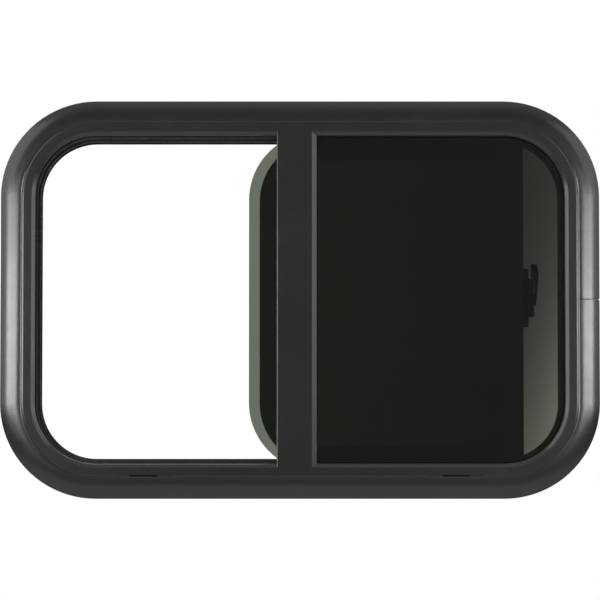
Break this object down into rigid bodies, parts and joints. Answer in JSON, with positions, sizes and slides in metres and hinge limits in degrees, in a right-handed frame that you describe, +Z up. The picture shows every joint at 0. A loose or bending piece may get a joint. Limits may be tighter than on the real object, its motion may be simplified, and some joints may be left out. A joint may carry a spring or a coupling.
{
  "type": "caravan window",
  "caption": "Clamp-in caravan window with rounded corners: fixed tinted pane, sliding tinted sash with a latch, and a sliding insect screen in a black extruded frame.",
  "frame": {"origin": "on the flat back of the flange, which lies on the wall's outer skin, at the middle of the bottom rail and half way across the flange", "axes": "+X to the right seen from outside, +Y inwards through the wall, +Z up"},
  "size_m": [0.6, 0.0503, 0.399],
  "materials": {
    "black_coat": "satin black powder coat",
    "key_metal": "mill",
    "tinted_glass": "polished, grey-green tint",
    "gasket_rubber": "matte black",
    "pile_fabric": "short grey-black flock",
    "black_plastic": "fine moulded grain",
    "screw_steel": "black zinc",
    "screen_weave": "coated glass fibre weave"
  },
  "bodies": {
    "window_frame": {"outer_frame": "black_coat", "seam_key": "key_metal", "fixed_glass": "tinted_glass", "outer_gasket": "gasket_rubber", "inner_gasket": "gasket_rubber", "setting_blocks": "gasket_rubber", "mullion": "black_coat", "mullion_pile": "pile_fabric", "latch_keeper": "black_plastic", "sash_run_channel": "pile_fabric", "weep_cover_left": "black_plastic", "weep_cover_right": "black_plastic", "clamp_ring": "black_coat", "clamp_screws": "screw_steel"},
    "sash": {"sash_glass": "tinted_glass", "sash_stile": "black_coat", "stile_gasket": "gasket_rubber", "stile_glide_top": "black_plastic", "stile_glide_bottom": "black_plastic", "latch_base": "black_plastic", "latch_screws": "screw_steel", "latch_pin": "screw_steel"},
    "lever": {"latch_lever": "black_plastic"},
    "insect_screen": {"screen_bow": "black_coat", "screen_stile": "black_coat", "screen_corner_top": "black_plastic", "screen_corner_bottom": "black_plastic", "screen_mesh": "screen_weave", "screen_spline": "gasket_rubber", "screen_pull": "black_plastic"}
  },
  "joints": [
    {"name": "sash_slide", "type": "slide", "parent": "window_frame", "child": "sash", "axis": [1, 0, 0], "range_m": [-0.2207, 0]},
    {"name": "screen_slide", "type": "slide", "parent": "window_frame", "child": "insect_screen", "axis": [1, 0, 0], "range_m": [-0.2269, 0]},
    {"name": "latch_turn", "type": "hinge", "parent": "sash", "child": "lever", "pos_m": [0.2316, 0.0075, 0.1904], "axis": [0, 0, 1], "range_deg": [0, 15]}
  ]
}
